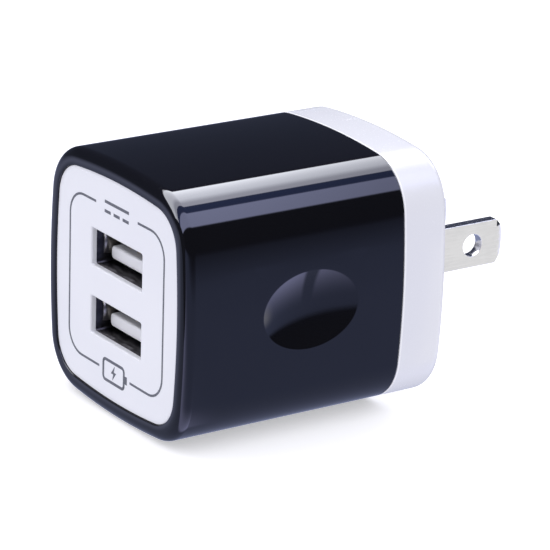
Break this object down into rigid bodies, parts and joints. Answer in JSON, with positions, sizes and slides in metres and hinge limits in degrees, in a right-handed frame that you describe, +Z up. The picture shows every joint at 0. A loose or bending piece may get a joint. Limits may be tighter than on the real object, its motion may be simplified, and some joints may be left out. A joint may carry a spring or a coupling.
{
  "type": "usb wall charger",
  "caption": "Compact plug-in USB charger: glossy sleeve with finger dishes, white face plate with stacked ports, white rear cap and fixed flat mains blades.",
  "frame": {"origin": "centre of the rear face, midway between the two blades, where the charger meets the outlet", "axes": "+Y along the blades into the outlet (the ports open towards -Y), +Z up, +X to the right seen from the ports"},
  "size_m": [0.0352, 0.0587, 0.0354],
  "materials": {
    "black_gloss": "high gloss, moulded, black with a blue cast",
    "white_face": "satin gloss, moulded, with grey printing",
    "white_cap": "satin gloss, moulded",
    "plated_blade": "nickel plated, fine stamped grain",
    "spring_brass": "rolled strip",
    "port_steel": "nickel plated stamped sheet",
    "port_plastic": "moulded",
    "gold_contact": "gold flashed",
    "circuit_board": "solder mask, semi gloss",
    "tinned_pin": "tinned",
    "ferrite": "sintered, ground",
    "bobbin_black": "moulded phenolic",
    "copper_wire": "enamelled wire",
    "yellow_tape": "polyester film tape",
    "sleeve_navy": "shrunk film sleeve",
    "sleeve_violet": "shrunk film sleeve",
    "disc_blue": "dipped epoxy",
    "resistor_green": "lacquered",
    "moulded_white": "moulded epoxy",
    "moulded_black": "moulded epoxy",
    "chip_black": "glazed",
    "chip_tan": "fired"
  },
  "bodies": {
    "root": {"sleeve": "black_gloss", "face_plate": "white_face", "rear_cap": "white_cap", "blade_left": "plated_blade", "blade_right": "plated_blade", "blade_contact_left": "spring_brass", "blade_contact_right": "spring_brass", "usb_shell_upper": "port_steel", "usb_shell_lower": "port_steel", "usb_tongue_upper": "port_plastic", "usb_tongue_lower": "port_plastic", "usb_contacts_upper": "gold_contact", "usb_contacts_lower": "gold_contact", "usb_board": "circuit_board", "main_board": "circuit_board", "header_pins": "tinned_pin", "transformer_core_front": "ferrite", "transformer_core_rear": "ferrite", "transformer_bobbin": "bobbin_black", "transformer_winding": "copper_wire", "transformer_tape": "yellow_tape", "transformer_pins": "tinned_pin", "input_capacitor_front": "sleeve_navy", "input_capacitor_rear": "sleeve_navy", "output_capacitor_left": "sleeve_violet", "output_capacitor_right": "sleeve_violet", "safety_capacitor": "disc_blue", "fuse_resistor": "resistor_green", "optocoupler": "moulded_white", "bridge_rectifier": "moulded_black", "controller_chip": "moulded_black", "output_diode": "moulded_black", "chip_resistors": "chip_black", "chip_capacitors": "chip_tan"}
  },
  "joints": []
}
